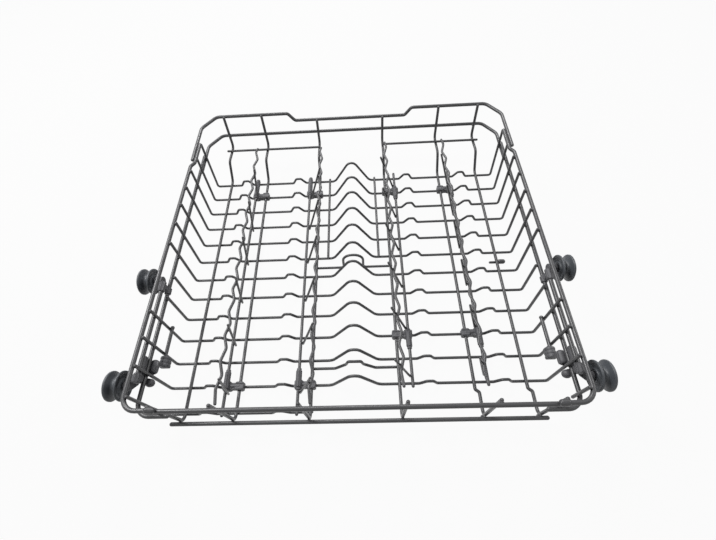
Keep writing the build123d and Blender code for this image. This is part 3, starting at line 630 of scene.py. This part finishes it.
def addHull(mesh, points):  # closed convex lump through the points, in mm
    verts = [mesh.verts.new(Vector(point) * mm) for point in points]
    made = bmesh.ops.convex_hull(mesh, input=verts)
    unused = [item for item in made["geom_interior"] + made["geom_unused"]
              if isinstance(item, bmesh.types.BMVert)]
    bmesh.ops.delete(mesh, geom=list(set(unused)), context="VERTS")


def ringPoints(centre, radius, axis, steps=20):
    ring = []
    for step in range(steps):
        angle = 2 * math.pi * step / steps
        across = {"X": (0, math.cos(angle), math.sin(angle)), "Y": (math.cos(angle), 0, math.sin(angle)),
                  "Z": (math.cos(angle), math.sin(angle), 0)}[axis]
        ring.append(Vector(centre) + Vector(across) * radius)
    return ring


def addRod(mesh, start, end, radius, axis):
    addHull(mesh, ringPoints(start, radius, axis) + ringPoints(end, radius, axis))


def addPad(mesh, low, high, radius):  # box with rounded upright corners
    points = []
    for x in (low[0] + radius, high[0] - radius):
        for y in (low[1] + radius, high[1] - radius):
            for z in (low[2], high[2]):
                points += ringPoints((x, y, z), radius, "Z", steps=16)
    addHull(mesh, points)


def fuse(name, mesh, replaced):
    data = bpy.data.meshes.new(name)
    mesh.to_mesh(data)
    mesh.free()
    piece = bpy.data.objects.new(name, data)
    bpy.context.scene.collection.objects.link(piece)
    skin = piece.modifiers.new("skin", "REMESH")
    skin.mode = "VOXEL"
    skin.voxel_size = melt["voxel"] * mm
    soften = piece.modifiers.new("soften", "SMOOTH")
    soften.iterations = melt["smooth"]
    thin = piece.modifiers.new("thin", "DECIMATE")
    thin.ratio = melt["keep"]
    depsgraph = bpy.context.evaluated_depsgraph_get()
    plain = bpy.data.meshes.new_from_object(piece.evaluated_get(depsgraph), depsgraph=depsgraph)
    piece.modifiers.clear()
    piece.data = plain
    plain.name = name
    bpy.data.meshes.remove(data)
    plain.materials.clear()
    plain.materials.append(clipPlastic)
    plain.polygons.foreach_set("use_smooth", [True] * len(plain.polygons))
    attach(piece, "frame")
    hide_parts(replaced)


# Roller brackets: jaws on the mid rail, a boss for the axle, a sleeve on the carrier wire and a stay block
jaw = dict(upper=(241.0, 74.6), lower=(235.6, 59.0), upperR=4.8, lowerR=5.4, rear=-163.0, front=-195.0,
           domeShares=(0.0, 0.35, 0.7, 0.92, 1.0), dome=0.8, domeTip=0.2, wireRoom=2.5,
           webIn=241.3, webOut=244.6, webInset=3.0, webDrop=3.0, bridgeDrop=4.0, bridgeRise=3.0, edge=1.0)
arm = dict(bossR=5.2, bossIn=243.5, bossOut=250.6, axleR=4.0, axleReach=3.0,
           plateOut=247.2, plateLap=1.0, plateInset=1.0, plateDrop=8.0, plateRise=2.0)
sleeve = dict(wall=1.3, front=-197.0, rear=-186.0, ridge=0.8, ridgeAngles=(35, 90, 145), ridgeInset=1.0,
              neckR=2.6, neckInset=2.0, neckRise=2.0, neckOut=2.0)
stay = dict(rear=-156.0, front=-169.0, half=5.9, drop=5.2, inset=1.0, ribs=3, ribWidth=2.4, ribRise=0.45,
            tongue=3.4, tongueIn=0.8, tongueInset=1.0, tongueRise=1.0, tongueLift=2.0, tongueEnd=15.0)
hook = dict(rear=-71.0, front=-79.0, wall=1.5, bossIn=240.0, axleIn=2.0, socketFront=-85.0, socketRear=4.0,
            discs=((0.0, 2.6, 6.2), (2.6, 4.4, 5.0), (4.4, 7.2, 6.4)),  # from, to, radius
            webThin=0.6, webInset=1.0, webTopR=3.0, webTopOut=1.0, webTopFront=3.0, webTopDrop=2.0)


def addAxle(mesh, side, y, inner):
    for outer, radius in ((arm["bossOut"], arm["bossR"]), (spool["innerX"] + arm["axleReach"], arm["axleR"])):
        addRod(mesh, (side * inner, y, spool["z"]), (side * outer, y, spool["z"]), radius, "X")


def addJaw(mesh, side, centre, radius, front, rear):  # bar with rounded ends, beside the rail
    points = []
    for share in jaw["domeShares"]:
        reach = radius * (1 - math.sqrt(1 - share ** 2)) * jaw["dome"]
        for y in (front + reach, rear - reach):
            points += ringPoints((side * centre[0], y, centre[1]), radius * share or jaw["domeTip"], "Y")
    addHull(mesh, points)


def addSleeve(mesh, side, front, rear):  # round the carrier wire, with ridges along it
    x, z, inset = side * carrierX, cross["carrierZ"], sleeve["ridgeInset"]
    grip = cross["carrierD"] / 2 + sleeve["wall"]
    addRod(mesh, (x, front, z), (x, rear, z), grip, "Y")
    for angle in sleeve["ridgeAngles"]:
        ridgeX = x + grip * math.cos(math.radians(angle))
        ridgeZ = z + grip * math.sin(math.radians(angle))
        addRod(mesh, (ridgeX, front + inset, ridgeZ), (ridgeX, rear - inset, ridgeZ), sleeve["ridge"], "Y")


def addStayBlock(mesh, side):  # ribbed block on the stay wire
    middleX, z = stayX - stay["inset"], small["stayZ"]
    size = (stay["rear"] - stay["front"]) / stay["ribs"]
    for rib in range(stay["ribs"]):
        middle = stay["rear"] - (rib + 0.5) * size
        for depth, half in ((size, stay["half"] - stay["ribRise"]), (stay["ribWidth"], stay["half"])):
            foot = [(side * (middleX + x), middle + y, z - stay["drop"])
                    for x in (-half, half) for y in (-depth / 2, depth / 2)]
            addHull(mesh, foot + ringPoints((side * middleX, middle - depth / 2, z), half, "Y")
                    + ringPoints((side * middleX, middle + depth / 2, z), half, "Y"))


def addTongue(mesh, side):  # angled, from the stay block to the lower jaw
    half, tongueY = stay["tongue"] / 2, stay["front"] + stay["tongueInset"]
    face, height = jaw["lower"][0] - stay["tongueIn"] * jaw["lowerR"], jaw["lower"][1] + stay["tongueLift"]
    corners = [(stayX - stay["inset"], tongueY, small["stayZ"] + stay["tongueRise"]), (face, tongueY, height),
               (face, jaw["rear"] - stay["tongueEnd"], height)]
    for start, end in zip(corners, corners[1:]):
        addHull(mesh, [(side * (x + across), y + along, z + lift) for x, y, z in (start, end)
                       for across in (-half, half) for along in (-half, half) for lift in (-half, half)])


def addJaws(mesh, side, wireY):  # above and below the mid rail, tied by a web
    inset, edge = jaw["webInset"], jaw["edge"]
    behind, before = wireY + jaw["wireRoom"], wireY - jaw["wireRoom"]
    addJaw(mesh, side, jaw["upper"], jaw["upperR"], jaw["front"], jaw["rear"])
    for front, rear in ((jaw["front"], before), (behind, jaw["rear"])):  # the wall wire passes between
        addJaw(mesh, side, jaw["lower"], jaw["lowerR"], front, rear)
    low, high = jaw["lower"][1], jaw["upper"][1]
    near, far = sorted((side * jaw["webIn"], side * jaw["webOut"]))
    addPad(mesh, (near, jaw["front"] + inset, low - jaw["webDrop"]), (far, jaw["rear"] - inset, high), edge)
    near, far = sorted((side * jaw["lower"][0], side * jaw["webOut"]))
    for front, rear in ((jaw["front"] + inset, before), (behind, jaw["rear"] - inset)):
        addPad(mesh, (near, front, low - jaw["bridgeDrop"]), (far, rear, low + jaw["bridgeRise"]), edge)


def frontBracket(side, hand):
    mesh = bmesh.new()
    y = spool["bodies"]["roller_front_" + hand][1]
    wireY = crossY(basket["crossCount"])
    high = jaw["upper"][1]
    addJaws(mesh, side, wireY)
    plate = [(side * x, place, height) for x in (jaw["webOut"] - arm["plateLap"], arm["plateOut"])
             for place in (jaw["front"] + arm["plateInset"], wireY)
             for height in (high - arm["plateDrop"], high + arm["plateRise"])]
    addHull(mesh, plate + ringPoints((side * arm["bossIn"], y, spool["z"]), arm["bossR"], "X")
            + ringPoints((side * arm["plateOut"], y, spool["z"]), arm["bossR"], "X"))
    addAxle(mesh, side, y, arm["bossIn"])
    neckEnds = (sleeve["front"] + sleeve["neckInset"], sleeve["rear"] - sleeve["neckInset"])
    neck = [(side * x, place, high + sleeve["neckRise"])
            for x in (carrierX, jaw["upper"][0] + sleeve["neckOut"]) for place in neckEnds]
    for place in neckEnds:
        neck += ringPoints((side * carrierX, place, cross["carrierZ"]), sleeve["neckR"], "Y")
    addHull(mesh, neck)
    addSleeve(mesh, side, sleeve["front"], sleeve["rear"])
    addStayBlock(mesh, side)
    addTongue(mesh, side)
    fuse("rollerBracketFront." + hand, mesh, "roller_bracket_front_" + hand)


def middleBracket(side, hand):
    mesh = bmesh.new()
    y, z = spool["bodies"]["roller_middle_" + hand][1], spool["z"]
    grip = basket["railD"] / 2 + hook["wall"]
    railX, railZ = side * midX, basket["midZ"]
    for inner, outer, radius in hook["discs"]:
        addRod(mesh, (side * (hook["bossIn"] + inner), y, z), (side * (hook["bossIn"] + outer), y, z),
               radius, "X")
    web = []
    for place in (hook["front"] + hook["webInset"], hook["rear"] - hook["webInset"]):
        web += ringPoints((railX, place, railZ), grip - hook["webThin"], "Y")
    webTop = (side * (hook["bossIn"] + hook["webTopOut"]), y - hook["webTopFront"], z - hook["webTopDrop"])
    addHull(mesh, web + ringPoints(webTop, hook["webTopR"], "X"))
    addRod(mesh, (railX, hook["front"], railZ), (railX, hook["rear"], railZ), grip, "Y")
    addAxle(mesh, side, y, arm["bossIn"] + hook["axleIn"])
    addSleeve(mesh, side, hook["socketFront"], y - hook["socketRear"])
    fuse("rollerBracketMiddle." + hand, mesh, "roller_bracket_middle_" + hand)


for side, hand in ((-1, "left"), (1, "right")):
    frontBracket(side, hand)
    middleBracket(side, hand)
print("brackets made")

# Hinge clips: a sleeve on each rod, an arm and a cap over the long wire beside it
clip = dict(left=((2, 7.0, 33.0), (12, 7.0, 20.0)),  # cross wire, reach to the front, reach to the rear
            right=((2, 22.0, 6.0), (10, 22.0, 6.0)), sleeveR=3.9, tipR=3.1, tip=3.2,
            floor=0.5, foot=5.6, footZ=9.5, footEdge=2.0,
            armHalf=4.2, armDrop=1.2, armEdge=1.0, ridgeDrop=1.6, ridgeR=2.0,
            capHalf=5.4, capEdge=2.2, over=1.9, rib=0.9, ribEdge=0.4, ribInset=2.0, ribEnd=1.0)


def addClip(mesh, side, place, y, front, rear):
    x, capX, rodZ = side * basket["rodX"][place], side * basket["longX"][place], fold["rodZ"]
    top = longZ + basket["longD"] / 2 + clip["over"]
    tip, rib, floor, foot = clip["tip"], clip["rib"], clip["floor"], clip["foot"]
    addRod(mesh, (x, y - front, rodZ), (x, y + rear, rodZ), clip["tipR"], "Y")
    addRod(mesh, (x, y - front + tip, rodZ), (x, y + rear - tip, rodZ), clip["sleeveR"], "Y")
    addPad(mesh, (x - rib, y - front + tip, rodZ),
           (x + rib, y + rear - tip, rodZ + clip["sleeveR"] + rib), clip["ribEdge"])
    addPad(mesh, (x - foot, y - foot, floor), (x + foot, y + foot, clip["footZ"]), clip["footEdge"])
    near, far = sorted((x, capX))
    addPad(mesh, (near, y - clip["armHalf"], floor), (far, y + clip["armHalf"], top - clip["armDrop"]),
           clip["armEdge"])
    ridgeZ, half = top - clip["ridgeDrop"], clip["capHalf"]
    addRod(mesh, (near, y, ridgeZ), (far, y, ridgeZ), clip["ridgeR"], "X")
    addPad(mesh, (capX - half, y - half, floor), (capX + half, y + half, top), clip["capEdge"])
    reach = half - clip["ribEnd"]
    for shift in (-half + clip["ribInset"], half - clip["ribInset"]):
        addRod(mesh, (capX - reach, y + shift, top), (capX + reach, y + shift, top), rib, "X")


for letter, row in rows.items():
    mesh = bmesh.new()
    for number, front, rear in clip["left" if row["side"] < 0 else "right"]:
        addClip(mesh, row["side"], row["place"], crossY(number), front, rear)
    fuse("hingeClips." + letter, mesh, f"fold_row_{letter}_clips")
print("clips made")

# Pale floor, soft studio light and the photograph's viewpoint
studio = dict(floorSize=8.0, floorDrop=0.0004, floor="#a8a8a8", shadowShare=0.05, world=0.05, aimZ=0.05,
              lamps=[((-0.95, 0.45, 1.25), 0.5, 19.2), ((-0.1, 1.15, 1.05), 0.5, 12.1),
                     ((1.15, 0.15, 0.75), 0.5, 3.5)],  # place, size, power
              eye=(16.48, -303.12, 486.44), right=(0.99861869, -0.00815132, -0.05190641),
              down=(-0.0336392, -0.85807077, -0.51242849), ahead=(-0.04036241, 0.51346676, -0.85715971),
              lens=18.90, sensor=36.0, shiftX=0.0119, nearest=0.01)


def seenRays(tree):  # 1 for what the camera sees straight, mirrored or through glass
    path = addNode(tree, "ShaderNodeLightPath").outputs
    first = addNode(tree, "ShaderNodeMath", {"operation": "MAXIMUM"},
                    {0: path["Is Camera Ray"], 1: path["Is Glossy Ray"]})
    return addNode(tree, "ShaderNodeMath", {"operation": "MAXIMUM"},
                   {0: first.outputs[0], 1: path["Is Transmission Ray"]}).outputs[0]


def makeFloor(scene):  # white where it is seen, but for the share that keeps the shadow
    paper = bpy.data.materials.new("palePaper")
    paper.use_nodes = True
    tree = paper.node_tree
    tree.nodes.clear()
    matt = addNode(tree, "ShaderNodeBsdfDiffuse", None, {"Color": linear(studio["floor"])})
    white = addNode(tree, "ShaderNodeEmission", None, {"Color": (1, 1, 1, 1), "Strength": 1.0})
    share = addNode(tree, "ShaderNodeMath", {"operation": "MULTIPLY"},
                    {0: seenRays(tree), 1: 1 - studio["shadowShare"]})
    mix = addNode(tree, "ShaderNodeMixShader", None,
                  {0: share.outputs[0], 1: matt.outputs[0], 2: white.outputs[0]})
    addNode(tree, "ShaderNodeOutputMaterial", None, {"Surface": mix.outputs[0]})
    half = studio["floorSize"] / 2
    sheet = bpy.data.meshes.new("floor")
    sheet.from_pydata([(-half, -half, 0), (half, -half, 0), (half, half, 0), (-half, half, 0)], [],
                      [(0, 1, 2, 3)])
    sheet.materials.append(paper)
    floor = bpy.data.objects.new("floor", sheet)
    scene.collection.objects.link(floor)
    floor.location.z = -studio["floorDrop"]


def makeLight(scene):
    world = bpy.data.worlds.new("studio")
    scene.world = world
    world.use_nodes = True
    tree = world.node_tree
    tree.nodes.clear()
    strength = addNode(tree, "ShaderNodeMapRange", None,
                       {"Value": seenRays(tree), "To Min": studio["world"], "To Max": 1.0})
    sky = addNode(tree, "ShaderNodeBackground", None,
                  {"Color": (1, 1, 1, 1), "Strength": strength.outputs["Result"]})
    addNode(tree, "ShaderNodeOutputWorld", None, {"Surface": sky.outputs[0]})
    aim = Vector((0, 0, studio["aimZ"]))
    for number, (place, size, power) in enumerate(studio["lamps"], start=1):
        lamp = bpy.data.lights.new(f"softbox{number}", "AREA")
        lamp.shape = "SQUARE"
        lamp.size = size
        lamp.energy = power
        stand = bpy.data.objects.new(f"softbox{number}", lamp)
        stand.location = place
        stand.rotation_euler = (aim - Vector(place)).to_track_quat("-Z", "Y").to_euler()
        scene.collection.objects.link(stand)


def makeCamera(scene):
    data = bpy.data.cameras.new("camera")
    data.sensor_width = studio["sensor"]
    data.lens = studio["lens"]
    data.shift_x = studio["shiftX"]
    data.clip_start = studio["nearest"]
    camera = bpy.data.objects.new("camera", data)
    scene.collection.objects.link(camera)
    right, up, back = Vector(studio["right"]), -Vector(studio["down"]), -Vector(studio["ahead"])
    turn = Matrix((right, up, back)).transposed().to_4x4()
    camera.matrix_world = Matrix.Translation(Vector(studio["eye"]) * mm) @ turn
    scene.camera = camera


bpy.context.scene.view_settings.view_transform = "Standard"
makeFloor(bpy.context.scene)
makeLight(bpy.context.scene)
makeCamera(bpy.context.scene)
print("studio made")
